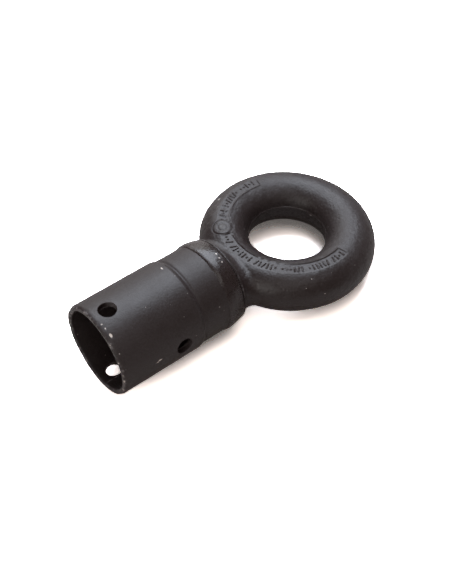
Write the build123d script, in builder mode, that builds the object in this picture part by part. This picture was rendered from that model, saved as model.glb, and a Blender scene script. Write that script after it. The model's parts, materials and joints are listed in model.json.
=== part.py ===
from build123d import *
from math import cos, radians, sin, tan
import os

# Towing eye for the draw tube of an overrun coupling, in millimetres.
# The origin is the centre of the eye, +Z runs along the eye's hole, and the socket's mouth faces -X.
# Three pieces: a forged ring eye with a collared shank, a swaged socket tube, and the weld between them.

# Ring of the forged eye
eye_bore_radius = 34.1
eye_land_height = 11.0        # sheared land left where the web was punched out of the eye
eye_land_cut = 0.2            # depth by which that land is opened beyond the round section's throat
eye_land_chamfer = 0.4
ring_section_radius = 21.6

# Marking panel: a flat cut into the crown of the ring, on the shank's side
panel_inner_reach = 3.8       # from the ring's centre line towards the eye
panel_outer_reach = 6.9       # from the ring's centre line outwards
panel_depth = 0.8             # below the crown of the ring
panel_arc = 206.0

# Shank: a flare that rises out of the ring to a round rim, along a quarter of an ellipse
rim_drop = 1.2                # rim below the tube beside it, on the radius
rim_gap = 0.4                 # from the outside of the ring to the back of the rim
rim_width = 2.45              # from the back of the rim to the toe of the weld
rim_round = 1.2
flare_sink = 0.2              # start of the flare, below the marking panel
spigot_length = 10.0          # beyond the weld's root, into the socket tube
spigot_clearance = 0.15       # on the radius
spigot_chamfer = 1.5

# Weld between shank and tube: a vee with a crowned cap that laps over both sides
weld_width = 16.4
weld_crown = 1.1              # height of the cap above the tube
weld_root_gap = 2.0
weld_bevel_angle = 30.0

# Socket tube, bored for the draw tube and swaged down a little where it meets the eye
draw_tube_radius = 35.0
draw_tube_clearance = 0.1     # on the radius
socket_wall = 4.9
socket_depth = 77.35          # from the mouth to the start of the swage
swage_step = 1.4              # on the radius
swage_length = 2.4
swage_round = 2.0
neck_length = 25.1            # from the weld's toe to the end of the swage
mouth_bevel_depth = 1.2
mouth_bevel_length = 2.5
mouth_lead_in = 1.2

# Crossed holes for the two bolts that hold the draw tube
bolt_hole_radius = 7.25
upright_hole_distance = 14.85     # from the mouth
level_hole_distance = 57.9       # from the mouth

# Places and sizes that follow from the values above
ring_centre_radius = eye_bore_radius + ring_section_radius - eye_land_cut
ring_outer_radius = ring_centre_radius + ring_section_radius
land_wall = eye_land_height / 2 - eye_land_chamfer     # half the height of the land's round wall
socket_bore_radius = draw_tube_radius + draw_tube_clearance
socket_outer_radius = socket_bore_radius + socket_wall
neck_outer_radius = socket_outer_radius - swage_step
neck_bore_radius = socket_bore_radius - swage_step
panel_start_angle = radians(180 - panel_arc / 2)
panel_start = Plane(
    origin=(0, 0, 0),
    x_dir=(cos(panel_start_angle), sin(panel_start_angle), 0),
    z_dir=(sin(panel_start_angle), -cos(panel_start_angle), 0),
)
rim_radius = neck_outer_radius - rim_drop
spigot_radius = neck_bore_radius - spigot_clearance
rim_back_x = -ring_outer_radius - rim_gap
weld_eye_toe_x = rim_back_x - rim_width
weld_tube_toe_x = weld_eye_toe_x - weld_width
weld_middle_x = (weld_eye_toe_x + weld_tube_toe_x) / 2
flare_start_z = ring_section_radius - panel_depth - flare_sink
eye_root_x = weld_middle_x + weld_root_gap / 2
tube_root_x = weld_middle_x - weld_root_gap / 2
spigot_end_x = tube_root_x - spigot_length
bevel_slope = tan(radians(weld_bevel_angle))
eye_bevel_x = eye_root_x + (rim_radius - spigot_radius) * bevel_slope
tube_bevel_x = tube_root_x - socket_wall * bevel_slope
swage_end_x = weld_tube_toe_x - neck_length
swage_start_x = swage_end_x - swage_length
mouth_x = swage_start_x - socket_depth
upright_hole_x = mouth_x + upright_hole_distance
level_hole_x = mouth_x + level_hole_distance

# Forged eye
with BuildPart() as forged_eye:
    # Ring: a round section with the sheared land on the eye's side
    with BuildSketch(Plane.XZ):
        with Locations((ring_centre_radius, 0)):
            Circle(ring_section_radius)
        Polygon(
            (eye_bore_radius, land_wall),
            (eye_bore_radius + eye_land_chamfer, eye_land_height / 2),
            (ring_centre_radius, eye_land_height / 2),
            (ring_centre_radius, -eye_land_height / 2),
            (eye_bore_radius + eye_land_chamfer, -eye_land_height / 2),
            (eye_bore_radius, -land_wall),
            align=None,
        )
        with Locations((eye_bore_radius, 0)):
            Rectangle(
                ring_section_radius,
                2 * ring_section_radius,
                align=(Align.MAX, Align.CENTER),
                mode=Mode.SUBTRACT,
            )
    revolve(axis=Axis.Z)

    # Marking panel
    with BuildSketch(panel_start):
        with Locations((ring_centre_radius - panel_inner_reach, ring_section_radius)):
            Rectangle(
                panel_inner_reach + panel_outer_reach,
                2 * panel_depth,
                align=(Align.MIN, Align.CENTER),
            )
    revolve(axis=Axis.Z, revolution_arc=panel_arc, mode=Mode.SUBTRACT)

    # Shank: spigot, weld bevel, rim and the flare down into the ring
    with BuildSketch(Plane.XZ):
        with BuildLine():
            Polyline(
                (-ring_centre_radius, flare_start_z),
                (-ring_centre_radius, 0),
                (spigot_end_x, 0),
                (spigot_end_x, spigot_radius - spigot_chamfer),
                (spigot_end_x + spigot_chamfer, spigot_radius),
                (eye_root_x, spigot_radius),
                (eye_bevel_x, rim_radius),
                (rim_back_x, rim_radius),
            )
            EllipticalCenterArc(
                (-ring_centre_radius, rim_radius),
                -ring_centre_radius - rim_back_x,
                rim_radius - flare_start_z,
                start_angle=180,
                arc_size=90,
            )
        make_face()
    revolve(axis=Axis.X)
    rim_edges = forged_eye.edges().filter_by(GeomType.CIRCLE)
    rim_edge = rim_edges.filter_by_position(Axis.X, rim_back_x - 0.01, rim_back_x + 0.01)
    fillet(rim_edge, rim_round)
forged_eye.part.label = "forged_eye"

# Socket tube
with BuildPart() as socket_tube:
    with BuildSketch(Plane.XZ):
        with BuildLine():
            Polyline(
                (mouth_x, socket_outer_radius - mouth_bevel_depth),
                (mouth_x + mouth_bevel_length, socket_outer_radius),
                (swage_start_x, socket_outer_radius),
                (swage_end_x, neck_outer_radius),
                (tube_bevel_x, neck_outer_radius),
                (tube_root_x, neck_bore_radius),
                (swage_end_x, neck_bore_radius),
                (swage_start_x, socket_bore_radius),
                (mouth_x + mouth_lead_in, socket_bore_radius),
                (mouth_x, socket_bore_radius + mouth_lead_in),
                close=True,
            )
        make_face()
    revolve(axis=Axis.X)
    # The swage's corners, inside and out, are drawn round
    swage_edges = (
        socket_tube.edges()
        .filter_by(GeomType.CIRCLE)
        .filter_by_position(Axis.X, swage_start_x - 0.01, swage_end_x + 0.01)
    )
    fillet(swage_edges, swage_round)
    # Crossed bolt holes
    with BuildSketch(Plane.XY):
        with Locations((upright_hole_x, 0)):
            Circle(bolt_hole_radius)
    extrude(amount=socket_outer_radius, both=True, mode=Mode.SUBTRACT)
    with BuildSketch(Plane.XZ):
        with Locations((level_hole_x, 0)):
            Circle(bolt_hole_radius)
    extrude(amount=socket_outer_radius, both=True, mode=Mode.SUBTRACT)
socket_tube.part.label = "socket_tube"

# Weld bead
with BuildPart() as weld_bead:
    with BuildSketch(Plane.XZ):
        with BuildLine():
            Polyline(
                (weld_eye_toe_x, rim_radius),
                (eye_bevel_x, rim_radius),
                (eye_root_x, spigot_radius),
                (tube_root_x, spigot_radius),
                (tube_root_x, neck_bore_radius),
                (tube_bevel_x, neck_outer_radius),
                (weld_tube_toe_x, neck_outer_radius),
            )
            ThreePointArc(
                (weld_tube_toe_x, neck_outer_radius),
                (weld_middle_x, neck_outer_radius + weld_crown),
                (weld_eye_toe_x, rim_radius),
            )
        make_face()
    revolve(axis=Axis.X)
weld_bead.part.label = "weld_bead"

os.makedirs("parts", exist_ok=True)
export_step(forged_eye.part, "parts/forged_eye.step")
export_step(socket_tube.part, "parts/socket_tube.step")
export_step(weld_bead.part, "parts/weld_bead.step")
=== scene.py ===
import json
import logging
from dataclasses import dataclass, field
from enum import Enum
from math import atan2, cos, degrees, hypot, pi, radians, sin, tan

import bmesh
import bpy
import numpy as np
from mathutils import Matrix, Vector

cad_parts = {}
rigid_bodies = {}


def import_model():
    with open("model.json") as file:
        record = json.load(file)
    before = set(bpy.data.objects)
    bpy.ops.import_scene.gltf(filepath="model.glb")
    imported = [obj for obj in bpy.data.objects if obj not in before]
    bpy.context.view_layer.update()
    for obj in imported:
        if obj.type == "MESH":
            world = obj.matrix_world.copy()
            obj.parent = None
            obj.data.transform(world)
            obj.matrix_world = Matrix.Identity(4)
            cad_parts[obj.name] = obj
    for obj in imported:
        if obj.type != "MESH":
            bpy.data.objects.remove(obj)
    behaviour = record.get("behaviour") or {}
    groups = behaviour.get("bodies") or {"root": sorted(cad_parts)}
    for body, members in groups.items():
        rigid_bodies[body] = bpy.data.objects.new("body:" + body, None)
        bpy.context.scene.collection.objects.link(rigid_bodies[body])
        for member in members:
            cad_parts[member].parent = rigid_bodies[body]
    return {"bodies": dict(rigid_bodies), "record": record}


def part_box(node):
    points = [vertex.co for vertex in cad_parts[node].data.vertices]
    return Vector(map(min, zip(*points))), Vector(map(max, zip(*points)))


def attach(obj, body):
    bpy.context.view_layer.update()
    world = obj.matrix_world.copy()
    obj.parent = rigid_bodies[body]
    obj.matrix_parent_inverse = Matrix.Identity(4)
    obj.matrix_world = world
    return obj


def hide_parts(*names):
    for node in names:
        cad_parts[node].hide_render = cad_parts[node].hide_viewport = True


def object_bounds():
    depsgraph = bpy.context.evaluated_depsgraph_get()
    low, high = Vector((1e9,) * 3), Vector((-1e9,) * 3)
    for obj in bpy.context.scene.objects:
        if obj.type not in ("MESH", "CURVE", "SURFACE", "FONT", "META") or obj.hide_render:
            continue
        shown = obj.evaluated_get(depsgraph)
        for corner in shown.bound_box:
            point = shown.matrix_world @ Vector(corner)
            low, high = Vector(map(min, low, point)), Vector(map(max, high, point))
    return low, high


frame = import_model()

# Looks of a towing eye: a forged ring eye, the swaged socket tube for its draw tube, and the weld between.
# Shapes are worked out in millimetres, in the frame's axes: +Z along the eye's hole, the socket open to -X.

log = logging.getLogger("towing_eye")

MM = 0.001                    # a millimetre in the scene's metres
BODY = next(iter(frame["bodies"]))
CAD_BOX = [list(corner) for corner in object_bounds()]
Array = np.ndarray


# ---------------------------------------------------------------- sizes that the frame gives


def mount(name: str) -> dict:
    """One of the record's mounts.

    Args:
        name: the mount's name.

    Returns:
        The mount as the record states it.
    """
    return next(entry for entry in frame["record"]["mounts"] if entry["name"] == name)


def mount_radius(name: str) -> float:
    """Radius of a round mount, in millimetres."""
    return mount(name)["dims"]["r_mm"]


def node_box(name: str) -> tuple[Array, Array]:
    """Lowest and highest corners of a CAD node, in millimetres."""
    low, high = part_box(name)
    return np.array(low) / MM, np.array(high) / MM


# ---------------------------------------------------------------- arithmetic on whole arrays


def smooth_step(value: Array, low: float, high: float) -> Array:
    """Rises from 0 to 1 as the value goes from low to high, with level ends: 3t squared less 2t cubed."""
    t = np.clip((value - low) / (high - low), 0.0, 1.0)
    return t * t * (3.0 - 2.0 * t)


def band(value: Array, low: float, high: float, edge: float) -> Array:
    """Is 1 between low and high, and falls to 0 over edge on each side of them."""
    return smooth_step(value, low - edge, low) * (1.0 - smooth_step(value, high, high + edge))


def mound(distance: Array, width: float) -> Array:
    """Bell curve of a distance: e to the minus square of distance over width."""
    return np.exp(-((distance / width) ** 2))


def turn_from(angle: Array, start: float) -> Array:
    """Angle past a starting angle given in degrees, from -pi to pi radians."""
    return np.mod(angle - radians(start) + pi, 2.0 * pi) - pi


def about_x(x: Array, radius: Array, angle: Array) -> Array:
    """Points about the X axis, at angles from the top that grow towards +Y.

    A point at x and a radius goes to (x, radius times sine of the angle, radius times cosine of the angle).

    Args:
        x: places along the axis.
        radius: distances from the axis.
        angle: angles round the axis, in radians.

    Returns:
        The points, with x, y and z along a new last axis.
    """
    x, radius, angle = np.broadcast_arrays(x, radius, angle)
    return np.stack([x, radius * np.sin(angle), radius * np.cos(angle)], axis=-1)


def turned(profile: Array, angles: Array) -> Array:
    """Carries a profile round the X axis.

    Args:
        profile: rows of x and radius.
        angles: angles from the top, in radians.

    Returns:
        Points with one row for each point of the profile and one column for each angle.
    """
    return about_x(profile[:, :1], profile[:, 1:], angles)


def steps(*stretches: tuple[float, float, int]) -> Array:
    """Positions along a line, evenly spaced within each stretch.

    Args:
        stretches: (first, last, how many steps), each starting where the one before it ends.

    Returns:
        The positions in order, each once.
    """
    first = stretches[0][0]
    runs = [np.linspace(low, high, count + 1)[1:] for low, high, count in stretches]
    return np.concatenate([[first], *runs])


def waviness(points: Array, wavelength: float, seed: int, waves: int = 14) -> Array:
    """Smooth unevenness in space, from about -1 to 1.

    It is the sum of plane sine waves with random directions and phases, whose lengths lie within a third
    of the one asked for.

    Args:
        points: places, with x, y and z along the last axis.
        wavelength: typical distance from crest to crest.
        seed: which unevenness.
        waves: how many sine waves are added.

    Returns:
        One value for each point.
    """
    draw = np.random.default_rng(seed)
    direction = draw.normal(size=(3, waves))
    direction /= np.linalg.norm(direction, axis=0)
    frequency = 2.0 * pi / (wavelength * draw.uniform(0.67, 1.33, waves))
    phase = draw.uniform(0.0, 2.0 * pi, waves)
    return np.sin(points @ (direction * frequency) + phase).sum(axis=-1) / np.sqrt(waves)


def square_to_disc(a: Array, b: Array, reach: float) -> tuple[Array, Array]:
    """Draws a square patch of a grid round, and lets its surroundings follow.

    In the patch's own measure its edge is where the larger of |a| and |b| is 1. A point there moves
    towards the centre until its distance from it is 1, and further out the move fades to nothing at reach.

    Args:
        a: first coordinate, measured in half-sizes of the patch.
        b: second coordinate, likewise.
        reach: how far out, in half-sizes, points still move.

    Returns:
        The moved coordinates.
    """
    larger = np.maximum(np.abs(a), np.abs(b))
    distance = np.maximum(np.hypot(a, b), 1e-9)
    share = 1.0 - smooth_step(larger, 1.0, reach)
    scale = 1.0 + (larger / distance - 1.0) * share
    return a * scale, b * scale


# ---------------------------------------------------------------- meshes from grids


@dataclass
class Shell:
    """One closed surface, put together from grids of points that share their edges."""

    name: str
    points: list[Array] = field(default_factory=list)
    wear: list[Array] = field(default_factory=list)
    quads: list[Array] = field(default_factory=list)
    triangles: list[Array] = field(default_factory=list)
    count: int = 0

    def add_points(self, points: Array, wear: Array | float = 0.0) -> Array:
        """Adds points to the shell.

        Args:
            points: places in millimetres, with x, y and z along the last axis.
            wear: how readily the paint comes off there, from 0 to 1; in a few places it is raised to paint a
                highlight instead.

        Returns:
            The points' numbers, in an array of the same shape.
        """
        shape = points.shape[:-1]
        total = int(np.prod(shape))
        self.points.append(points.reshape(total, 3))
        self.wear.append(np.broadcast_to(wear, shape).reshape(total))
        self.count += total
        return np.arange(self.count - total, self.count).reshape(shape)

    def add_grid(self, index: Array, keep: Array | None = None) -> None:
        """Fills the cells between the rows and columns of a grid of point numbers with faces.

        Args:
            index: point numbers, with a first row or column repeated at the end where the grid closes.
            keep: which cells get a face. All do without it.
        """
        corners = (index[:-1, :-1], index[:-1, 1:], index[1:, 1:], index[1:, :-1])
        cells = np.stack(corners, axis=-1)
        self.quads.append(cells.reshape(-1, 4) if keep is None else cells[keep])

    def add_fan(self, ring: Array, centre: int) -> None:
        """Closes a ring of point numbers with triangles to a point at its centre."""
        following = np.roll(ring, -1)
        middle = np.full_like(ring, centre)
        self.triangles.append(np.stack([ring, following, middle], axis=-1))

    def build(self, crease: float) -> bpy.types.Object:
        """Makes the mesh object, in metres, with outward faces and its wear as a point attribute.

        Args:
            crease: edges that turn by more than this, in degrees, stay crisp.

        Returns:
            The object, linked to the scene.
        """
        faces = [face for part in self.quads for face in part.tolist()]
        faces += [face for part in self.triangles for face in part.tolist()]
        mesh = bpy.data.meshes.new(self.name)
        mesh.from_pydata((np.concatenate(self.points) * MM).tolist(), [], faces)
        wear = mesh.attributes.new("wear", "FLOAT", "POINT")
        wear.data.foreach_set("value", np.concatenate(self.wear).astype(np.float32))
        work = bmesh.new()
        work.from_mesh(mesh)
        bmesh.ops.delete(work, geom=[v for v in work.verts if not v.link_faces], context="VERTS")
        bmesh.ops.recalc_face_normals(work, faces=work.faces)
        work.to_mesh(mesh)
        work.free()
        mesh.shade_smooth()
        mesh.set_sharp_from_angle(angle=radians(crease))
        piece = bpy.data.objects.new(self.name, mesh)
        bpy.context.scene.collection.objects.link(piece)
        return piece


def closed(index: Array) -> Array:
    """Repeats the first column of a grid of point numbers after its last, so that the grid closes."""
    return np.concatenate([index, index[:, :1]], axis=1)


def patch_loop(index: Array, rows: slice, columns: slice) -> Array:
    """Point numbers round the edge of a rectangular patch of a grid.

    Args:
        index: the grid of point numbers.
        rows: the patch's first row and last row.
        columns: the patch's first column and last column.

    Returns:
        The numbers in order round the patch, each once.
    """
    low, high, left, right = rows.start, rows.stop, columns.start, columns.stop
    bottom = index[low, left:right]
    side = index[low:high, right]
    top = index[high, right:left:-1]
    other_side = index[high:low:-1, left]
    return np.concatenate([bottom, side, top, other_side])


def cells_outside(shape: tuple[int, int], rows: slice, columns: slice) -> Array:
    """Marks the cells of a grid that lie outside a rectangular patch of it."""
    keep = np.ones((shape[0] - 1, shape[1] - 1), dtype=bool)
    keep[rows, columns] = False
    return keep


# ---------------------------------------------------------------- shader building


class Graph:
    """Adds nodes to a node tree and joins them."""

    def __init__(self, tree: bpy.types.NodeTree) -> None:
        """Starts on an empty tree."""
        self.tree = tree
        tree.nodes.clear()

    def node(self, kind: str, settings: dict | None = None, **inputs: object) -> bpy.types.Node:
        """Adds a node.

        Args:
            kind: the node's type, without its ShaderNode prefix.
            settings: the node's own properties.
            inputs: values or sockets for its inputs, by name with underscores for spaces, or by i and a
                number.

        Returns:
            The new node.
        """
        node = self.tree.nodes.new(kind if kind.startswith("Node") else "ShaderNode" + kind)
        for name, value in (settings or {}).items():
            setattr(node, name, value)
        for name, value in inputs.items():
            numbered = name[0] == "i" and name[1:].isdigit()
            socket = node.inputs[int(name[1:])] if numbered else node.inputs[name.replace("_", " ")]
            if isinstance(value, bpy.types.NodeSocket):
                self.tree.links.new(value, socket)
            else:
                socket.default_value = value
        return node

    def value(self, kind: str, settings: dict | None = None, **inputs: object) -> bpy.types.NodeSocket:
        """Adds a node and returns its first output."""
        return self.node(kind, settings, **inputs).outputs[0]

    def math(self, operation: str, a: object, b: object = 0.0, c: object = 0.0) -> bpy.types.NodeSocket:
        """Adds a Math node and returns its result."""
        return self.value("Math", {"operation": operation}, i0=a, i1=b, i2=c)

    def ramp(self, value: object, low: float, high: float) -> bpy.types.NodeSocket:
        """Turns a value into 0 below low and 1 above high, with a smooth rise between."""
        settings = {"interpolation_type": "SMOOTHSTEP"}
        return self.value("MapRange", settings, Value=value, From_Min=low, From_Max=high)

    def blend(self, share: object, first: object, second: object) -> bpy.types.NodeSocket:
        """Mixes two colours: the first where share is 0, the second where it is 1."""
        mix = self.node("Mix", {"data_type": "RGBA"}, i0=share)
        for socket, colour in ((mix.inputs[6], first), (mix.inputs[7], second)):
            if isinstance(colour, bpy.types.NodeSocket):
                self.tree.links.new(colour, socket)
            else:
                socket.default_value = (*colour, 1.0)
        return mix.outputs[2]

    def noise(self, place: object, scale: object, detail: float = 2.0) -> bpy.types.NodeSocket:
        """Adds a noise pattern and returns its value."""
        return self.value("TexNoise", None, Vector=place, Scale=scale, Detail=detail)


Sockets = dict[str, tuple[str, float]]


def new_group(name: str, inputs: Sockets, outputs: list[str]) -> bpy.types.NodeTree:
    """Makes an empty shader node group with named sockets.

    Args:
        name: the group's name.
        inputs: for each input its kind, Float or Vector, and its starting value.
        outputs: names of the outputs, which are all values.

    Returns:
        The group.
    """
    group = bpy.data.node_groups.new(name, "ShaderNodeTree")
    for label, (kind, start) in inputs.items():
        socket = group.interface.new_socket(label, in_out="INPUT", socket_type="NodeSocket" + kind)
        if kind == "Float":
            socket.default_value = start
    for label in outputs:
        group.interface.new_socket(label, in_out="OUTPUT", socket_type="NodeSocketFloat")
    return group


class SharedEffects:
    """Effects that every finish uses, each built once as a node group."""

    def __init__(self) -> None:
        """Builds the groups."""
        self.grain = self.build_grain()
        self.chips = self.build_chips()
        self.specks = self.build_specks()

    @staticmethod
    def build_grain() -> bpy.types.NodeTree:
        """Surface under the paint: fine blast grain, soft orange peel and small pits.

        Returns:
            A group that gives a Height in millimetres and a Tone from 0 to 1.
        """
        inputs = {
            "Place": ("Vector", 0.0),
            "Grain Size": ("Float", 0.6),
            "Grain": ("Float", 0.02),
            "Peel": ("Float", 0.02),
            "Pits": ("Float", 0.03),
        }
        group = new_group("surface_grain", inputs, ["Height", "Tone"])
        graph = Graph(group)
        given = graph.node("NodeGroupInput").outputs
        fine_scale = graph.math("DIVIDE", 1.0 / MM, given["Grain Size"])
        fine = graph.noise(given["Place"], fine_scale, 3.0)
        peel_scale = graph.math("MULTIPLY", fine_scale, 0.22)
        peel = graph.noise(given["Place"], peel_scale, 2.0)
        pit_scale = graph.math("MULTIPLY", fine_scale, 0.3)
        pit_cells = graph.value("TexVoronoi", None, Vector=given["Place"], Scale=pit_scale)
        pit = graph.math("SUBTRACT", 1.0, graph.ramp(pit_cells, 0.02, 0.3))
        high = graph.math("MULTIPLY", fine, given["Grain"])
        high = graph.math("MULTIPLY_ADD", peel, given["Peel"], high)
        sunk = graph.math("MULTIPLY", pit, given["Pits"])
        height = graph.math("SUBTRACT", high, sunk)
        broad = graph.noise(given["Place"], graph.math("MULTIPLY", fine_scale, 0.03), 4.0)
        tone = graph.math("MULTIPLY_ADD", fine, 0.35, graph.math("MULTIPLY", broad, 0.65))
        graph.node("NodeGroupOutput", None, Height=height, Tone=tone)
        return group

    @staticmethod
    def build_chips() -> bpy.types.NodeTree:
        """Places where the paint is knocked off: wear plus noise, cut at a threshold.

        Returns:
            A group that gives a Bare mask and a wider Scuffed mask round it.
        """
        inputs = {"Place": ("Vector", 0.0), "Wear": ("Float", 0.0), "Size": ("Float", 2.0)}
        group = new_group("paint_chips", inputs, ["Bare", "Scuffed"])
        graph = Graph(group)
        given = graph.node("NodeGroupInput").outputs
        scale = graph.math("DIVIDE", 1.0 / MM, given["Size"])
        ragged = graph.noise(given["Place"], scale, 5.0)
        level = graph.math("MULTIPLY_ADD", ragged, 0.9, given["Wear"])
        bare = graph.ramp(level, 1.0, 1.06)
        scuffed = graph.ramp(level, 0.78, 1.0)
        graph.node("NodeGroupOutput", None, Bare=bare, Scuffed=scuffed)
        return group

    @staticmethod
    def build_specks() -> bpy.types.NodeTree:
        """Sparse pale specks of dust and overspray, each in its own cell of a random pattern.

        Returns:
            A group that gives a Speck mask.
        """
        inputs = {"Place": ("Vector", 0.0), "Spacing": ("Float", 5.0), "Share": ("Float", 0.3)}
        group = new_group("dust_specks", inputs, ["Speck"])
        graph = Graph(group)
        given = graph.node("NodeGroupInput").outputs
        scale = graph.math("DIVIDE", 1.0 / MM, given["Spacing"])
        cells = graph.node("TexVoronoi", None, Vector=given["Place"], Scale=scale)
        draw = graph.node("SeparateColor", None, Color=cells.outputs["Color"]).outputs
        chosen = graph.math("LESS_THAN", draw[0], given["Share"])
        size = graph.math("MULTIPLY_ADD", draw[1], 0.07, 0.03)
        near = graph.math("SUBTRACT", size, cells.outputs["Distance"])
        speck = graph.math("MULTIPLY", graph.ramp(near, 0.0, 0.02), chosen)
        graph.node("NodeGroupOutput", None, Speck=speck)
        return group


Colour = tuple[float, float, float]


@dataclass(frozen=True)
class BlackPaint:
    """Thin black dip paint over bare steel, scuffed lighter and knocked through where the wear attribute is
    high; in a few places that lighter colour is a painted highlight.
    """

    name: str
    paint: Colour = (0.0115, 0.0056, 0.0050)
    paint_scuffed_and_sheen: Colour = (0.115, 0.104, 0.104)
    steel: Colour = (0.62, 0.56, 0.50)
    dust: Colour = (0.34, 0.31, 0.29)
    roughness: float = 0.44
    roughness_spread: float = 0.12
    grain_size: float = 0.7
    grain: float = 0.05
    peel: float = 0.10
    pits: float = 0.05
    chip_size: float = 2.2
    speck_share: float = 0.25
    speck_spacing: float = 6.0

    def material(self, effects: SharedEffects) -> bpy.types.Material:
        """Builds the material.

        Args:
            effects: the shared node groups.

        Returns:
            The material.
        """
        material = bpy.data.materials.new(self.name)
        material.use_nodes = True
        graph = Graph(material.node_tree)
        place = graph.node("TexCoord").outputs["Object"]
        wear = graph.node("Attribute", {"attribute_name": "wear"}).outputs["Fac"]
        grain = graph.node(
            "Group",
            {"node_tree": effects.grain},
            Place=place,
            Grain_Size=self.grain_size,
            Grain=self.grain,
            Peel=self.peel,
            Pits=self.pits,
        )
        chips = graph.node("Group", {"node_tree": effects.chips}, Place=place, Wear=wear, Size=self.chip_size)
        specks = graph.node(
            "Group",
            {"node_tree": effects.specks},
            Place=place,
            Spacing=self.speck_spacing,
            Share=self.speck_share,
        )
        tone = graph.ramp(grain.outputs["Tone"], 0.3, 0.7)
        bare, scuffed = chips.outputs["Bare"], chips.outputs["Scuffed"]
        # The lighter colour marks scuffed paint, and also painted highlights where the wear is raised to
        # stand in for sheen.
        worn = graph.math("MAXIMUM", graph.math("MULTIPLY", tone, 0.11), scuffed)
        colour = graph.blend(worn, self.paint, self.paint_scuffed_and_sheen)
        colour = graph.blend(specks.outputs["Speck"], colour, self.dust)
        colour = graph.blend(bare, colour, self.steel)
        rough = graph.math("MULTIPLY_ADD", tone, self.roughness_spread, self.roughness)
        height = graph.math("MULTIPLY_ADD", bare, -0.06, grain.outputs["Height"])
        bump = graph.node("Bump", None, Height=height, Distance=MM, Strength=1.0)
        shader = graph.node(
            "BsdfPrincipled",
            None,
            Base_Color=colour,
            Roughness=rough,
            Metallic=graph.math("MULTIPLY", bare, 0.75),
            Normal=bump.outputs["Normal"],
        )
        graph.node("OutputMaterial", None, Surface=shader.outputs["BSDF"])
        return material


FORGING_PAINT = BlackPaint(
    "forging_paint",
    grain_size=1.5,
    grain=0.26,
    peel=0.60,
    pits=0.16,
    roughness=0.38,
    roughness_spread=0.18,
)
TUBE_PAINT = BlackPaint(
    "tube_paint",
    chip_size=3.2,
    grain_size=1.2,
    grain=0.20,
    peel=0.12,
    roughness=0.42,
    roughness_spread=0.16,
)
WELD_PAINT = BlackPaint(
    "weld_paint",
    grain_size=1.4,
    grain=0.10,
    peel=0.22,
    pits=0.05,
    roughness=0.20,
    roughness_spread=0.14,
)


# ---------------------------------------------------------------- forged eye


class MarkKind(Enum):
    """Generic raised forging marks: plain strokes and dots that spell nothing."""

    BAR = "bar"
    SHORT_BAR = "short_bar"
    SLANT = "slant"
    DOT = "dot"


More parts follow.
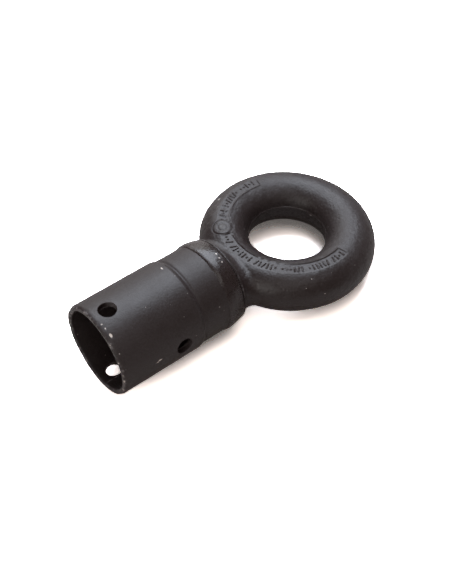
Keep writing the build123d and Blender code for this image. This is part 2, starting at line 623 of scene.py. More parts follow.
@dataclass
class MarkingPanel:
    """Flat on the crown of the ring with raised marks, and a round boss. Angles are from the shank."""

    inner_radius: float = 51.6
    outer_radius: float = 62.3
    half_arc: float = 103.0
    floor: float = 20.75
    edge: float = 0.5
    lip_height: float = 0.35
    lip_width: float = 0.7
    mark_middle: float = 57.0
    mark_height: float = 0.75
    mark_half_length: float = 2.4
    mark_half_width: float = 0.42
    mark_pitch: float = 3.3
    boss_angle: float = 31.0
    boss_middle: float = 57.3
    boss_radius: float = 10.0
    boss_rise: float = 0.15
    groove_radius: float = 8.6
    groove_width: float = 0.55
    groove_depth: float = 0.8
    emblem_radius: float = 4.2

    def strokes(self) -> Array:
        """Lays out the marks in groups along the panel.

        Returns:
            Rows of the two ends of each stroke: arc length and distance from the marks' middle line, twice.
        """
        draw = np.random.default_rng(11)
        kinds = list(MarkKind)
        reach = radians(self.half_arc - 4.0) * self.mark_middle
        keep_off = (self.boss_radius + 1.5) / self.mark_middle
        rows: list[tuple[float, float, float, float]] = []
        along = -reach
        while along < reach:
            group = int(draw.integers(4, 8))
            for _ in range(group):
                kind = kinds[int(draw.integers(len(kinds)))]
                near_boss = abs(along / self.mark_middle - radians(self.boss_angle)) < keep_off
                if along < reach and not near_boss:
                    rows += self.stroke(kind, along)
                along += self.mark_pitch
            along += self.mark_pitch * 0.9
        return np.array(rows)

    def stroke(self, kind: MarkKind, along: float) -> list[tuple[float, float, float, float]]:
        """The straight strokes of one mark.

        Args:
            kind: which mark.
            along: its place along the panel.

        Returns:
            The two ends of each stroke, as strokes() gives them.
        """
        half = self.mark_half_length
        if kind is MarkKind.BAR:
            return [(along, -half, along, half)]
        if kind is MarkKind.SHORT_BAR:
            return [(along, 0.1 * half, along, half), (along, -half, along, -0.7 * half)]
        if kind is MarkKind.SLANT:
            return [(along - 0.35 * half, -half, along + 0.35 * half, half)]
        return [(along, -0.15 * half, along, 0.15 * half)]

    def relief(self, radius: Array, angle: Array, crown: Array) -> Array:
        """Height of the ring's crown with the panel, marks and boss worked into it.

        Each mark is a mound along its stroke: its height falls with the distance from the stroke's line.

        Args:
            radius: distance from the eye's axis.
            angle: angle round the eye, from the shank, in radians.
            crown: height of the plain round section.

        Returns:
            The new height.
        """
        in_arc = 1.0 - smooth_step(np.abs(np.degrees(angle)), self.half_arc - 0.8, self.half_arc)
        in_band = band(radius, self.inner_radius, self.outer_radius, self.edge) * in_arc
        flat = np.minimum(crown, self.floor)
        height = crown + (flat - crown) * in_band
        lip = mound(radius - self.inner_radius + self.edge, self.lip_width)
        height = height + self.lip_height * lip * in_arc
        marks = self.mark_field(angle * self.mark_middle, radius - self.mark_middle)
        height = height + self.mark_height * marks * in_arc
        return self.add_boss(radius, angle, height, crown)

    def mark_field(self, along: Array, across: Array) -> Array:
        """How much of a mark's height each point has, from 0 to 1."""
        ends = self.strokes()
        x0, y0, x1, y1 = (ends[:, k][:, None, None] for k in range(4))
        run_x, run_y = x1 - x0, y1 - y0
        share = ((along - x0) * run_x + (across - y0) * run_y) / (run_x**2 + run_y**2)
        share = np.clip(share, 0.0, 1.0)
        distance = np.hypot(along - x0 - share * run_x, across - y0 - share * run_y).min(axis=0)
        return 1.0 - smooth_step(distance, self.mark_half_width * 0.5, self.mark_half_width * 2.0)

    def add_boss(self, radius: Array, angle: Array, height: Array, crown: Array) -> Array:
        """Adds the round boss: the crown a little raised, with a ring groove and a small ring inside it.

        Args:
            radius: distance from the eye's axis.
            angle: angle round the eye, from the shank, in radians.
            height: height so far.
            crown: height of the plain round section.

        Returns:
            The new height.
        """
        turn = np.cos(angle - radians(self.boss_angle))
        distance = np.sqrt(radius**2 + self.boss_middle**2 - 2.0 * radius * self.boss_middle * turn)
        on_boss = 1.0 - smooth_step(distance, self.boss_radius - 0.8, self.boss_radius)
        cut = mound(distance - self.groove_radius, self.groove_width)
        cut = cut + 0.5 * mound(distance - self.emblem_radius, self.groove_width * 1.4)
        top = crown + self.boss_rise - self.groove_depth * cut
        return height + (top - height) * on_boss


@dataclass
class ForgedEye:
    """Round-section ring that flares into a collared shank. Sizes in millimetres, from the frame."""

    panel: MarkingPanel = field(default_factory=MarkingPanel)
    bore_radius: float = mount_radius("eye")
    land_wall: float = mount("eye")["dims"]["length_mm"] / 2
    land_chamfer: float = 0.4
    land_cut: float = 0.2
    outer_radius: float = float(node_box("forged_eye")[1][0])
    rim_radius: float = float(node_box("forged_eye")[1][2])
    spigot_end: float = float(node_box("forged_eye")[0][0])
    weld_middle: float = float(sum(corner[0] for corner in node_box("weld_bead")) / 2)
    rim_gap: float = 0.4
    rim_round: float = 1.2
    root_half_gap: float = 1.0
    bevel_slope: float = tan(radians(30.0))
    toe_groove: float = 0.55
    spigot_radius: float = 33.55
    spigot_chamfer: float = 1.5
    flare_angle: float = 33.0
    flare_turn: float = 76.0
    opening_reach: float = 1.9
    flare_start_pull: float = 0.95
    flare_end_pull: float = 0.9
    unevenness: float = 0.16
    crown_half: float = 0.6

    @property
    def section_radius(self) -> float:
        """Radius of the ring's round section."""
        return (self.outer_radius - self.bore_radius + self.land_cut) / 2

    @property
    def centre_radius(self) -> float:
        """Radius of the line through the middle of the ring's section."""
        return self.outer_radius - self.section_radius

    @property
    def rim_back(self) -> float:
        """Place of the collar's back face along the shank."""
        return -self.outer_radius - self.rim_gap

    @property
    def weld_root(self) -> float:
        """Place where the weld bevel meets the spigot."""
        return self.weld_middle + self.root_half_gap

    @property
    def rim_front(self) -> float:
        """Place where the rim meets the weld bevel."""
        return self.weld_root + (self.rim_radius - self.spigot_radius) * self.bevel_slope

    def ring_grid(self) -> tuple[Array, Array]:
        """Angles of the ring's grid: round the eye from the shank, and round the section from outside.

        Returns:
            Two arrays of the grid's shape, in radians: columns go round the eye, rows round the section.
        """
        arc = self.panel.half_arc + 2.0
        round_eye = steps((-180.0, -arc, 30), (-arc, arc, 380), (arc, 180.0, 30))[:-1]
        land_top = degrees(np.arcsin((self.land_wall + self.land_chamfer) / self.section_radius))
        land_edge = degrees(np.arcsin(self.land_wall / self.section_radius))
        top, edge = 180.0 - land_top, 180.0 - land_edge
        upper = steps(
            (0.0, self.flare_turn - 11.0, 26),
            (self.flare_turn - 11.0, 106.0, 58),
            (106.0, top - 3.0, 22),
            (top - 3.0, top, 4),
            (top, edge, 2),
            (edge, 180.0, 6),
        )
        lower = steps(
            (-180.0, -edge, 6),
            (-edge, -top, 2),
            (-top, -top + 3.0, 4),
            (-top + 3.0, -self.flare_turn - 10.0, 20),
            (-self.flare_turn - 10.0, 0.0, 34),
        )
        round_section = np.concatenate([lower[:-1], upper[:-1]])
        return np.meshgrid(np.radians(round_eye), np.radians(round_section))

    def ring_points(self, around: Array, turn: Array) -> Array:
        """Points of the ring's surface.

        A point stands at the section's radius from its centre line, at the turn angle in the upright plane
        at the angle around the eye. The throat's land replaces the radius near the middle, and the panel's
        relief replaces the height on the crown.

        Args:
            around: angles round the eye.
            turn: angles round the section.

        Returns:
            Places in millimetres.
        """
        radius = self.centre_radius + self.section_radius * np.cos(turn)
        height = self.section_radius * np.sin(turn)
        inside = np.cos(turn) < 0.0
        level = np.abs(height)
        land = self.bore_radius + np.clip(level - self.land_wall, 0.0, self.land_chamfer)
        on_land = inside & (level <= self.land_wall + self.land_chamfer + 1e-6)
        radius = np.where(on_land, land, radius)
        top = turn > 0.0
        relief = self.panel.relief(radius, around, height)
        height = np.where(top & (np.abs(turn - pi / 2) < self.crown_half), relief, height)
        points = np.stack([-radius * np.cos(around), radius * np.sin(around), height], axis=-1)
        outward = np.stack(
            [-np.cos(turn) * np.cos(around), np.cos(turn) * np.sin(around), np.sin(turn)], axis=-1
        )
        uneven = waviness(points, 26.0, 3) * 0.6 + waviness(points, 9.0, 4) * 0.3
        calm = np.where(on_land, 0.0, 1.0) * self.unevenness
        return points + outward * (np.minimum(uneven - 0.5, 0.0) * calm)[..., None]

    def build(self) -> bpy.types.Object:
        """Builds the eye: the ring's grid, opened at the shank, and a second grid from there to the spigot.

        Returns:
            The mesh object.
        """
        shell = Shell("eye_forging")
        around, turn = self.ring_grid()
        half_around, half_turn = radians(self.flare_angle), radians(self.flare_turn)
        a, b = square_to_disc(around / half_around, turn / half_turn, self.opening_reach)
        around, turn = a * half_around, b * half_turn
        ring = self.ring_points(around, turn)
        index = shell.add_points(ring, self.ring_wear_and_sheen(ring))
        columns = np.flatnonzero(np.abs(a[0]) <= 1.0 + 1e-6)
        rows = self.patch_rows(b)
        column_patch = slice(int(columns[0]), int(columns[-1]))
        wrapped = closed(np.concatenate([index, index[:1]], axis=0))
        shell.add_grid(wrapped, cells_outside(wrapped.shape, rows, column_patch))
        loop = patch_loop(index, rows, column_patch)
        self.add_shank(shell, loop, ring.reshape(-1, 3)[loop])
        return shell.build(crease=40.0)

    def patch_rows(self, b: Array) -> slice:
        """First and last rows of the patch that the shank takes, from the rows' measure far from it."""
        far = b[:, 0]
        rows = np.flatnonzero(np.abs(far) <= 1.0 + 1e-6)
        return slice(int(rows[0]), int(rows[-1]))

    def ring_wear_and_sheen(self, points: Array) -> Array:
        """Wear over the ring: a few knocks and two painted highlight patches on the far crown, each a mound
        round its place.
        """
        wear = np.zeros(points.shape[:-1])
        for x, y, z, width, amount in RING_KNOCKS_AND_SHEEN:
            distance = np.linalg.norm(points - np.array([x, y, z]), axis=-1)
            wear = np.maximum(wear, amount * mound(distance, width))
        return wear

    def add_shank(self, shell: Shell, loop: Array, start: Array) -> None:
        """Adds the flare, rim, weld bevel and spigot.

        The flare's lines are cubic curves: each leaves the ring along its surface towards the shank's axis
        and reaches the rim square to it. Beyond the rim the profile is carried round the shank's axis.

        Args:
            shell: the shell to add to.
            loop: numbers of the points round the opening in the ring.
            start: those points' places.
        """
        angles = np.arctan2(start[:, 1], start[:, 2])
        spread = np.stack([np.zeros_like(angles), np.sin(angles), np.cos(angles)], axis=-1)
        end = spread * (self.rim_radius - self.rim_round)
        end[:, 0] = self.rim_back
        reach = np.hypot(start[:, 0], start[:, 1])[:, None]
        flat = start[:, :2] / reach * self.centre_radius
        centre = np.concatenate([flat, np.zeros((len(start), 1))], axis=1)
        normal = (start - centre) / np.linalg.norm(start - centre, axis=1, keepdims=True)
        ahead = np.array([-1.0, 0.0, 0.0]) - normal * -normal[:, :1]
        ahead /= np.linalg.norm(ahead, axis=1, keepdims=True)
        chord = np.linalg.norm(end - start, axis=1, keepdims=True)
        leave, arrive = ahead * chord * self.flare_start_pull, spread * chord * self.flare_end_pull
        t = np.linspace(0.0, 1.0, 23)[1:, None, None]
        flare = (
            (2 * t**3 - 3 * t**2 + 1) * start
            + (t**3 - 2 * t**2 + t) * leave
            + (3 * t**2 - 2 * t**3) * end
            + (t**3 - t**2) * arrive
        )
        calm = (t * (1.0 - t) * 4.0)[..., 0]
        flare[..., 2] += np.sign(flare[..., 2]) * waviness(flare, 12.0, 8) * 0.12 * calm
        corner = np.linspace(0.0, pi / 2, 6)[1:]
        rim = np.stack(
            [
                self.rim_back - self.rim_round * (1.0 - np.cos(corner)),
                self.rim_radius - self.rim_round * (1.0 - np.sin(corner)),
            ],
            axis=-1,
        )
        profile = np.array(
            [
                (self.rim_back - 1.7, self.rim_radius),
                (self.rim_back - 2.1, self.rim_radius - self.toe_groove),
                (self.rim_back - 2.8, self.rim_radius - self.toe_groove),
                (self.rim_back - 3.2, self.rim_radius),
                (self.rim_front, self.rim_radius),
                (self.weld_root, self.spigot_radius),
                (self.spigot_end + self.spigot_chamfer, self.spigot_radius),
                (self.spigot_end, self.spigot_radius - self.spigot_chamfer),
                (self.spigot_end, 20.0),
                (self.spigot_end, 8.0),
            ]
        )
        collar = turned(np.concatenate([rim, profile]), angles)
        points = np.concatenate([flare, collar])
        wear = np.zeros(points.shape[:-1])
        wear[len(flare) + 1 : len(flare) + 6] = 0.30 + 0.12 * waviness(collar[1:6], 7.0, 21)
        index = shell.add_points(points, wear)
        shell.add_grid(closed(np.concatenate([loop[None, :], index])))
        middle = shell.add_points(np.array([[self.spigot_end, 0.0, 0.0]]))
        shell.add_fan(index[-1], int(middle[0]))


# Knocks on the ring, and two painted highlights on the far crown: x, y, z, width and strength
RING_KNOCKS_AND_SHEEN = [
    (-28.0, 60.2, 18.2, 2.4, 0.68),
    (-36.0, 52.0, 20.0, 1.4, 0.55),
    (33.5, 6.0, 3.0, 3.2, 0.50),
    (32.5, 11.0, -3.0, 3.0, 0.48),
    (36.0, 14.0, 10.0, 2.0, 0.45),
    (-47.0, -41.0, 19.5, 1.2, 0.5),
    (-20.0, -66.0, 16.0, 2.2, 0.42),
    (14.0, -70.0, 12.0, 2.0, 0.44),
    # Painted highlight: these two raise the wear on the far crown so that the lighter scuffed paint colour
    # stands in for a sheen of light there.
    (46.0, -10.0, 19.5, 3.5, 0.36),
    (48.0, 12.0, 19.5, 3.0, 0.36),
]


# ---------------------------------------------------------------- socket tube


@dataclass(frozen=True)
class CrossHole:
    """One bolt hole through the tube's wall: its place along the tube and its direction round it."""

    x: float
    direction: float
    radius: float


@dataclass
class SocketTube:
    """Swaged tube with a bevelled mouth and crossed bolt holes. Sizes in millimetres, from the frame."""

    mouth: float = float(node_box("socket_tube")[0][0])
    root: float = float(node_box("socket_tube")[1][0])
    outer_radius: float = float(node_box("socket_tube")[1][2])
    bore_radius: float = mount_radius("socket")
    swage_step: float = 1.4
    weld_toe: float = float(node_box("weld_bead")[0][0])
    neck_length: float = 25.1
    swage_length: float = 2.4
    groove_depth: float = 0.75
    groove_width: float = 1.5
    bevel_depth: float = 1.2
    bevel_length: float = 2.5
    lead_in: float = 1.2
    bevel_slope: float = tan(radians(30.0))
    drawing_depth: float = 0.05
    hole_edge: float = 0.35
    patch_share: float = 1.15
    patch_reach: float = 1.85
    columns: int = 360
    patch_columns: int = 24
    ding_length: float = 4.5
    ding_lean: float = 0.35
    seam_angle: float = -165.8
    seam_height: float = 0.55
    seam_width: float = 1.1

    def holes(self) -> list[CrossHole]:
        """The four holes of the two crossed pairs."""
        found = []
        for name, directions in (("bolt_upright", (0.0, 180.0)), ("bolt_level", (90.0, -90.0))):
            x = mount(name)["pos_m"][0] / MM
            found += [CrossHole(x, direction, mount_radius(name)) for direction in directions]
        return found

    @property
    def weld_bevel(self) -> float:
        """Place where the neck's outside meets the weld bevel."""
        return self.root - (self.outer_radius - self.bore_radius) * self.bevel_slope

    @property
    def swage_end(self) -> float:
        """Place where the neck starts."""
        return self.weld_toe - self.neck_length

    @property
    def swage_start(self) -> float:
        """Place where the full-size tube ends."""
        return self.swage_end - self.swage_length

    def stations(self) -> Array:
        """Places along the tube from the mouth's bevel to the weld bevel, closer together at its features."""
        hole_half = self.holes()[0].radius * self.patch_share
        upright, level = (mount(name)["pos_m"][0] / MM for name in ("bolt_upright", "bolt_level"))
        start = self.mouth + self.bevel_length
        return steps(
            (start, upright - hole_half, 5),
            (upright - hole_half, upright + hole_half, 20),
            (upright + hole_half, level - hole_half, 22),
            (level - hole_half, level + hole_half, 20),
            (level + hole_half, self.swage_start - 2.0, 9),
            (self.swage_start - 2.0, self.swage_end + 4.0, 34),
            (self.swage_end + 4.0, self.weld_bevel, 16),
        )

    def step_in(self, x: Array) -> Array:
        """How much the swage has taken off the radius at each place: a smooth step down."""
        return self.swage_step * smooth_step(x, self.swage_start - 1.4, self.swage_end + 0.2)

    def warped(self, x: Array, angle: Array) -> tuple[Array, Array]:
        """Draws the grid round each hole so that its patch's edge is the hole's circle.

        In the plane square to the hole, with x and the sideways distance in half-sizes of the patch, the
        square patch becomes a disc, as square_to_disc says.

        Args:
            x: places along the tube.
            angle: angles round the tube, in radians from the top.

        Returns:
            The moved places and angles, for a cylinder as large as the tube's outside.
        """
        for hole in self.holes():
            turn = turn_from(angle, hole.direction)
            half = hole.radius * self.patch_share
            side_half = self.outer_radius * np.sin(self.patch_half_angle())
            near = np.abs(turn) < radians(60.0)
            side = self.outer_radius * np.sin(np.where(near, turn, 0.0))
            a, b = (x - hole.x) / half, side / side_half
            moved_a, moved_b = square_to_disc(a, b, self.patch_reach)
            larger = np.maximum(np.abs(a), np.abs(b))
            share = 1.0 - smooth_step(larger, 1.0, self.patch_reach)
            rim = hole.radius + self.hole_edge
            size_a, size_b = half + (rim - half) * share, side_half + (rim - side_half) * share
            new_side = np.clip(moved_b * size_b / self.outer_radius, -0.99, 0.99)
            touched = near & (larger < self.patch_reach)
            x = np.where(touched, hole.x + moved_a * size_a, x)
            angle = np.where(touched, radians(hole.direction) + np.arcsin(new_side), angle)
        return x, angle

    def patch_half_angle(self) -> float:
        """Half the angle that a hole's patch takes of the grid's columns, in radians."""
        return pi * self.patch_columns / self.columns

    def grid(self) -> tuple[Array, Array]:
        """Places and angles of the wall's grid, drawn round the holes.

        Returns:
            x and angle, with one row for each station and one column for each angle.
        """
        angle, x = np.meshgrid(np.radians(self.angles()), self.stations())
        return self.warped(x, angle)

    def angles(self) -> Array:
        """Angles of the grid's columns in degrees, starting midway between two holes."""
        return np.linspace(-135.0, 225.0, self.columns, endpoint=False)

    def outside(self, x: Array, angle: Array) -> Array:
        """Points of the outside: the tube's radius less the swage, with slight drawing marks."""
        fade = 0.55 + 0.45 * np.cos(angle)
        groove = self.groove_depth * fade * mound(x - self.swage_end - 0.8, self.groove_width)
        radius = self.outer_radius - self.step_in(x) - groove
        drawn = 1.0 + np.maximum(waviness(about_x(x, radius, angle), 30.0, 31), -1.0)
        return about_x(x, radius - self.drawing_depth * drawn - self.dings(x, angle), angle)

    def dings(self, x: Array, angle: Array) -> Array:
        """Small knocks at the mouth: each a mound round its angle that fades along the tube."""
        depth = np.zeros_like(x)
        for at, width, amount in MOUTH_DINGS:
            across = mound(np.degrees(turn_from(angle, at)), width)
            depth += amount * across * mound(x - self.mouth, self.ding_length)
        return depth

    def inside(self, x: Array, angle: Array) -> Array:
        """Points of the bore: the bore's radius less the swage, with the tube's seam as a low ridge."""
        radius = self.bore_radius - self.step_in(x) - self.dings(x, angle)
        return about_x(x, radius - self.seam_height * self.seam(angle), angle)

    def seam(self, angle: Array) -> Array:
        """Share of the seam's height at each angle: a mound round the seam's line."""
        return mound(turn_from(angle, self.seam_angle) * self.bore_radius, self.seam_width)

    def build(self) -> bpy.types.Object:
        """Builds the tube: outside, weld bevel, bore and mouth as one closed wall, pierced by the holes.

        Returns:
            The mesh object.
        """
        shell = Shell("socket_body")
        x, angle = self.grid()
        outer_points, inner_points = self.outside(x, angle), self.inside(x, angle)
        outer = shell.add_points(outer_points, self.wear(outer_points, x, angle))
        # Painted highlight: the seam's ridge gets the lighter scuffed paint colour along its line, standing
        # in for the light it catches.
        inner = shell.add_points(inner_points, 0.5 * self.seam(angle))
        angles = angle[0]
        mouth = self.mouth_rows(shell, angles)
        root = shell.add_points(turned(np.array([[self.root, self.bore_radius - self.swage_step]]), angles))
        keep = np.ones((outer.shape[0] - 1, self.columns), dtype=bool)
        for hole in self.holes():
            rows, columns = self.patch(hole)
            keep[rows, columns] = False
        shell.add_grid(closed(outer), keep)
        shell.add_grid(closed(inner), keep)
        shell.add_grid(closed(np.concatenate([outer[-1:], root, inner[-1:]])))
        shell.add_grid(closed(np.concatenate([outer[:1], mouth, inner[:1]])))
        for hole in self.holes():
            self.pierce(shell, hole, outer, inner)
        return shell.build(crease=32.0)

    def patch(self, hole: CrossHole) -> tuple[slice, slice]:
        """Rows and columns of a hole's patch in the grid."""
        stations = self.stations()
        half = hole.radius * self.patch_share
        rows = np.flatnonzero(np.abs(stations - hole.x) <= half + 1e-6)
        turn = np.mod(self.angles() - hole.direction + 180.0, 360.0) - 180.0
        middle = int(np.argmin(np.abs(turn)))
        first = middle - self.patch_columns // 2
        return slice(int(rows[0]), int(rows[-1])), slice(first, first + self.patch_columns)

    def mouth_rows(self, shell: Shell, angles: Array) -> Array:
        """Adds the mouth's rounded bevel, its face and the bore's lead-in."""
        bevel_top = self.outer_radius - self.bevel_depth
        bore = self.bore_radius
        profile = np.array(
            [
                (self.mouth + 1.6, self.outer_radius - 0.38),
                (self.mouth + 0.7, self.outer_radius - 0.80),
                (self.mouth + 0.12, bevel_top + 0.08),
                (self.mouth, bevel_top - 0.15),
                (self.mouth, bore + self.lead_in + 0.15),
                (self.mouth + 0.15, bore + self.lead_in - 0.12),
                (self.mouth + self.lead_in, bore + 0.06),
            ]
        )
        points = turned(profile, angles)
        x, angle = points[..., 0], np.broadcast_to(angles, points.shape[:-1])
        radius = profile[:, 1:] - self.dings(x, angle)
        points = about_x(x + self.ding_lean * self.dings(x, angle), radius, angle)
        lift = 1.0 + 0.12 * waviness(points, 9.0, 41)
        wear = np.array([0.28, 0.38, 0.44, 0.43, 0.40, 0.46, 0.34])[:, None] * lift
        return shell.add_points(points, wear)

    def wear(self, points: Array, x: Array, angle: Array) -> Array:
        """Wear over the outside: the mouth's edge and a few knocks."""
        wear = 0.18 * mound(x - self.mouth - self.bevel_length, 1.5)
        for from_mouth, at_angle, width, length, amount in TUBE_KNOCKS:
            across = turn_from(angle, at_angle) * self.outer_radius / width
            along = (x - self.mouth - from_mouth) / length
            wear = np.maximum(wear, amount * mound(np.hypot(across, along), 1.0))
        return wear

    def pierce(self, shell: Shell, hole: CrossHole, outer: Array, inner: Array) -> None:
        """Adds a hole's wall between its edges on the outside and in the bore.

        The wall is the hole's circle carried along its direction, opened a little at both ends so that its
        edges are broken.

        Args:
            shell: the shell to add to.
            hole: the hole.
            outer: point numbers of the outside's grid.
            inner: point numbers of the bore's grid.
        """
        rows, columns = self.patch(hole)
        outer_ring = patch_loop(outer, rows, columns)
        inner_ring = patch_loop(inner, rows, columns)
        points = np.concatenate(shell.points)
        outer_rim, inner_rim = points[outer_ring], points[inner_ring]
        turn = radians(hole.direction)
        along = np.array([0.0, sin(turn), cos(turn)])
        side = np.array([0.0, cos(turn), -sin(turn)])
        around = np.arctan2(outer_rim @ side, outer_rim[:, 0] - hole.x)
        circle = np.zeros_like(outer_rim)
        circle[:, 0] = hole.x + hole.radius * np.cos(around)
        circle += hole.radius * np.sin(around)[:, None] * side
        top, bottom = outer_rim @ along, inner_rim @ along
        broken = self.hole_edge * 1.2
        levels = [top - broken, top - 1.2, (top + bottom) / 2, bottom + broken]
        wall = np.stack([circle + level[:, None] * along for level in levels])
        index = shell.add_points(wall, 0.05)
        shell.add_grid(closed(np.concatenate([outer_ring[None], index, inner_ring[None]])))


# Dings in the mouth's rim: angle round the tube, width in degrees and depth in millimetres
MOUTH_DINGS = [(62.0, 5.0, 0.45), (100.0, 3.5, 0.5), (-30.0, 4.0, 0.2), (140.0, 7.0, 0.35)]

# Knocks on the tube's outside: distance from the mouth, angle round it, width, length and strength
TUBE_KNOCKS = [
    (3.6, -6.0, 1.4, 0.9, 0.60),
    (3.7, -13.5, 1.6, 1.0, 0.72),
    (3.9, -19.0, 1.8, 0.9, 0.64),
    (4.4, -29.0, 2.4, 1.5, 0.86),
    (2.8, -67.0, 1.8, 0.9, 0.62),
    (3.6, -71.5, 1.4, 0.9, 0.62),
    (34.2, -87.0, 1.0, 2.8, 0.90),
    (30.8, -88.5, 0.7, 2.2, 0.78),
    (17.0, -52.0, 1.2, 1.0, 0.42),
    (73.0, 13.0, 2.6, 1.1, 0.80),
    (86.0, -38.0, 1.2, 1.2, 0.42),
    (96.0, -66.0, 1.4, 1.4, 0.58),
    (100.0, -74.0, 1.2, 1.2, 0.52),
]


# ---------------------------------------------------------------- weld bead


@dataclass
class WeldBead:
    """Vee weld with a crowned, rippled cap. Sizes in millimetres, from the frame."""

    eye_toe: float = float(node_box("weld_bead")[1][0])
    tube_toe: float = float(node_box("weld_bead")[0][0])
    crown_radius: float = float(node_box("weld_bead")[1][2])
    rim_radius: float = float(node_box("forged_eye")[1][2])
    neck_radius: float = float(node_box("socket_tube")[1][2]) - 1.4
    root_radius: float = 33.7
    root_half_gap: float = 1.0
    bevel_slope: float = tan(radians(30.0))
    columns: int = 640
    rows: int = 40
    ripple_pitch: float = 3.4
    ripple: float = 0.03
    ripple_sweep: float = 9.0
    wander: float = 0.35
    sink: float = 0.25

    def cap(self, angles: Array) -> tuple[Array, Array]:
        """Places and radii of the cap.

        Across the bead the radius is a low arch between its two toes. Ripples run round the bead as a sine
        of the angle, swept back from the middle like the tail of the weld pool, and uneven lumps are added.

        Args:
            angles: angles round the shank, in radians.

        Returns:
            x and radius, with one row for each place across the bead and one column for each angle.
        """
        across = (1.0 - np.cos(np.linspace(0.0, pi, self.rows)))[:, None] / 2.0
        flat_x = self.eye_toe + (self.tube_toe - self.eye_toe) * across
        ring = turned(np.stack([flat_x[:, 0], np.full(self.rows, self.crown_radius)], axis=-1), angles)
        wander = self.wander * (waviness(ring[-1:], 18.0, 51) - 1.0)
        x = flat_x - wander * smooth_step(across, 0.55, 1.0)
        base = self.rim_radius + (self.neck_radius - self.rim_radius) * smooth_step(across, 0.1, 0.9)
        arch = (4.0 * across * (1.0 - across)) ** 0.6
        crown = self.crown_radius - (self.rim_radius + self.neck_radius) / 2 - 0.22
        swept = self.ripple_sweep * (across - 0.5) ** 2
        ripple = np.sin(2.0 * pi * (angles * self.crown_radius + swept) / self.ripple_pitch)
        ripple = ripple + 0.5 * waviness(ring, 5.0, 52)
        lumps = waviness(ring, 16.0, 53) * 0.05 + waviness(ring, 36.0, 54) * 0.10
        height = crown * arch + (self.ripple * ripple + lumps) * arch
        radius = np.minimum(base + height, self.crown_radius - 0.01)
        return x, np.where(arch > 1e-6, radius, base)

    def build(self) -> bpy.types.Object:
        """Builds the bead: the cap, and the vee under it that meets the eye and the tube.

        Returns:
            The mesh object.
        """
        shell = Shell("weld_seam")
        angles = np.linspace(-pi, pi, self.columns, endpoint=False)
        x, radius = self.cap(angles)
        points = about_x(x, radius, angles)
        height = radius - self.neck_radius
        wear = 0.16 + 0.06 * height + 0.05 * waviness(points, 7.0, 55)
        for from_toe, at_angle, width, amount in WELD_KNOCKS:
            turn = turn_from(angles, at_angle)
            distance = np.hypot(x - self.eye_toe + from_toe, turn * self.crown_radius)
            wear = np.maximum(wear, amount * mound(distance, width))
        cap = shell.add_points(points, wear)
        middle = (self.eye_toe + self.tube_toe) / 2
        tube_root, eye_root = middle - self.root_half_gap, middle + self.root_half_gap
        tube_high, eye_high = self.neck_radius - self.sink, self.rim_radius - self.sink
        vee = np.array(
            [
                (self.tube_toe + self.sink, tube_high),
                (tube_root - (tube_high - self.root_radius) * self.bevel_slope, tube_high),
                (tube_root, self.root_radius),
                (eye_root, self.root_radius),
                (eye_root + (eye_high - self.root_radius) * self.bevel_slope, eye_high),
                (self.eye_toe - self.sink, eye_high),
            ]
        )
        under = shell.add_points(turned(vee, angles))
        shell.add_grid(closed(np.concatenate([cap, under, cap[:1]])))
        return shell.build(crease=50.0)


# Knocks on the weld's cap: distance from its toe on the eye, angle round it, width and strength
WELD_KNOCKS = [
    (4.2, -7.6, 1.2, 0.68),
    (4.6, -14.1, 1.4, 0.74),
    (4.9, -20.0, 1.2, 0.70),
    (11.0, -12.0, 1.2, 0.42),
    (14.5, 8.0, 1.2, 0.48),
]


# ---------------------------------------------------------------- stage, light and camera


@dataclass(frozen=True)
class SoftBox:
    """A square studio light: its direction from the part in degrees, distance, size and power in watts."""

    name: str
    azimuth: float
    elevation: float
    distance: float
    size: float
    power: float
    colour: Colour

    def hang(self, centre: Vector) -> None:
        """Adds the light, aimed at a centre."""
        turn, rise = radians(self.azimuth), radians(self.elevation)
        away = Vector((cos(turn) * cos(rise), sin(turn) * cos(rise), sin(rise)))
        lamp = bpy.data.lights.new(self.name, "AREA")
        lamp.shape, lamp.size, lamp.energy, lamp.color = "SQUARE", self.size, self.power, self.colour
        holder = bpy.data.objects.new(self.name, lamp)
        holder.location = centre + away * self.distance
        holder.rotation_euler = (-away).to_track_quat("-Z", "Y").to_euler()
        bpy.context.scene.collection.objects.link(holder)


# The key light stands behind and above the part; the rest only open up its sides.
SOFT_BOXES = [
    SoftBox("back_box", 50.0, 60.0, 1.3, 1.15, 25.0, (0.84, 0.90, 1.0)),
    SoftBox("horizon_box", 70.0, 25.0, 1.3, 0.90, 3.5, (1.0, 0.99, 0.97)),
    SoftBox("left_box", 200.0, 22.0, 1.3, 0.75, 4.5, (1.0, 0.97, 0.95)),
    SoftBox("front_box", 250.0, 55.0, 1.3, 0.75, 2.0, (1.0, 0.96, 0.94)),
]


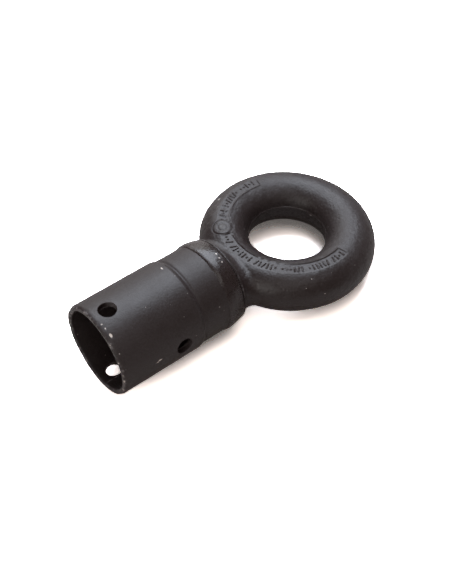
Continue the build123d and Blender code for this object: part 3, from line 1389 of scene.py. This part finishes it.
@dataclass
class Stage:
    """Plain pale floor, soft studio light and the camera.

    The camera sees the floor brighter than the part does, as on an overexposed backdrop, and a painted
    contact shadow darkens its colour within contact_reach of the part.
    """

    floor_size: float = 40.0
    floor_colour: Colour = (4.6, 4.4, 4.25)
    floor_painted_shadow: Colour = (0.22, 0.18, 0.17)
    contact_reach: float = 0.018
    contact_dark: float = 0.28
    contact_clear: float = 0.86
    floor_bounce: Colour = (0.50, 0.46, 0.43)
    floor_lift: float = 0.02
    room_light: float = 0.17
    room_colour: tuple[float, float, float, float] = (1.0, 0.80, 0.72, 1.0)
    light_centre: Vector = field(default_factory=lambda: Vector((-0.06, 0.0, 0.0)))
    azimuth: float = -40.403
    elevation: float = 48.336
    roll: float = 1.427
    distance: float = 0.7727
    aim_shift: tuple[float, float] = (-0.0196, -0.0155)
    lens: float = 57.38
    sensor_width: float = 36.0

    def rest_plane(self) -> tuple[Vector, float]:
        """Where the part rests: on the underside of the weld's cap and the far underside of the ring.

        The line that touches the cap's lowest point and the ring's section circle from below has a slope
        that one circle and one point give in closed form.

        Returns:
            A point on the floor and the floor's slope about the Y axis, in radians.
        """
        low, high = node_box("weld_bead")
        touch = Vector(((low[0] + high[0]) / 2, 0.0, low[2]))
        eye = ForgedEye()
        run, rise = eye.centre_radius - touch.x, -touch.z
        slope = np.arccos(eye.section_radius / hypot(run, rise)) - atan2(run, rise)
        return touch * MM, float(slope)

    def add_floor(self) -> None:
        """Lays the floor under the part, in the plane that it rests on."""
        touch, slope = self.rest_plane()
        half = self.floor_size / 2
        mesh = bpy.data.meshes.new("floor")
        signs = ((-1, -1), (1, -1), (1, 1), (-1, 1))
        corners = [Vector((half * x, half * y, 0.0)) for x, y in signs]
        lean = Matrix.Rotation(-slope, 3, "Y")
        mesh.from_pydata([lean @ corner + touch for corner in corners], [], [(0, 1, 2, 3)])
        floor = bpy.data.objects.new("floor", mesh)
        bpy.context.scene.collection.objects.link(floor)
        material = bpy.data.materials.new("pale_floor")
        material.use_nodes = True
        graph = Graph(material.node_tree)
        seen = graph.node("LightPath").outputs["Is Camera Ray"]
        # Painted shadow: ambient occlusion darkens the floor's colour near the part, for camera rays only.
        near = graph.node("AmbientOcclusion", {"samples": 8}, Distance=self.contact_reach)
        open_share = graph.ramp(near.outputs["AO"], self.contact_dark, self.contact_clear)
        shown = graph.blend(open_share, self.floor_painted_shadow, self.floor_colour)
        shader = graph.node(
            "BsdfPrincipled",
            None,
            Base_Color=graph.blend(seen, self.floor_bounce, shown),
            Roughness=0.9,
            IOR=1.2,
            Emission_Color=(*self.floor_colour, 1.0),
            Emission_Strength=graph.math("MULTIPLY", seen, self.floor_lift),
        )
        graph.node("OutputMaterial", None, Surface=shader.outputs["BSDF"])
        mesh.materials.append(material)

    def add_lights(self) -> None:
        """Hangs the soft boxes and sets the dim room."""
        for box in SOFT_BOXES:
            box.hang(self.light_centre)
        world = bpy.data.worlds.new("room")
        world.use_nodes = True
        graph = Graph(world.node_tree)
        seen = graph.node("Background", None, Color=(1.0, 1.0, 1.0, 1.0), Strength=1.0)
        felt = graph.node("Background", None, Color=self.room_colour, Strength=self.room_light)
        ray = graph.node("LightPath").outputs["Is Camera Ray"]
        mix = graph.node("MixShader", None, i0=ray, i1=felt.outputs[0], i2=seen.outputs[0])
        graph.node("OutputWorld", None, Surface=mix.outputs[0])
        bpy.context.scene.world = world

    def add_camera(self) -> None:
        """Sets the camera by its direction from the part, its distance and a slight roll."""
        turn, rise = radians(self.azimuth), radians(self.elevation)
        back = Vector((sin(turn) * cos(rise), -cos(turn) * cos(rise), sin(rise)))
        low, high = (Vector(corner) for corner in CAD_BOX)
        middle = (low + high) / 2
        aim = Vector((middle.x + self.aim_shift[0], middle.y + self.aim_shift[1], 0.0))
        data = bpy.data.cameras.new("camera")
        data.lens = self.lens
        data.sensor_width = self.sensor_width
        camera = bpy.data.objects.new("camera", data)
        camera.location = aim + back * self.distance
        level = (-back).to_track_quat("-Z", "Y").to_matrix()
        camera.rotation_euler = (level @ Matrix.Rotation(radians(self.roll), 3, "Z")).to_euler()
        bpy.context.scene.collection.objects.link(camera)
        bpy.context.scene.camera = camera
        bpy.context.scene.view_settings.view_transform = "Standard"

    def build(self) -> None:
        """Sets camera, floor and lights."""
        self.add_camera()
        self.add_floor()
        self.add_lights()


# ---------------------------------------------------------------- assembly


def finish_piece(piece: bpy.types.Object, material: bpy.types.Material, node: str) -> None:
    """Dresses a piece, joins it to its body and lets it stand for its CAD node.

    Args:
        piece: the mesh object.
        material: its finish.
        node: the CAD node that it replaces.
    """
    piece.data.materials.append(material)
    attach(piece, BODY)
    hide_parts(node)
    log.info("%s: %d faces, stands for %s", piece.name, len(piece.data.polygons), node)


def main() -> None:
    """Builds the stage and the three pieces."""
    logging.basicConfig(level=logging.INFO, format="%(name)s: %(message)s")
    Stage().build()
    effects = SharedEffects()
    finish_piece(ForgedEye().build(), FORGING_PAINT.material(effects), "forged_eye")
    finish_piece(SocketTube().build(), TUBE_PAINT.material(effects), "socket_tube")
    finish_piece(WeldBead().build(), WELD_PAINT.material(effects), "weld_bead")


if __name__ == "__main__":
    main()
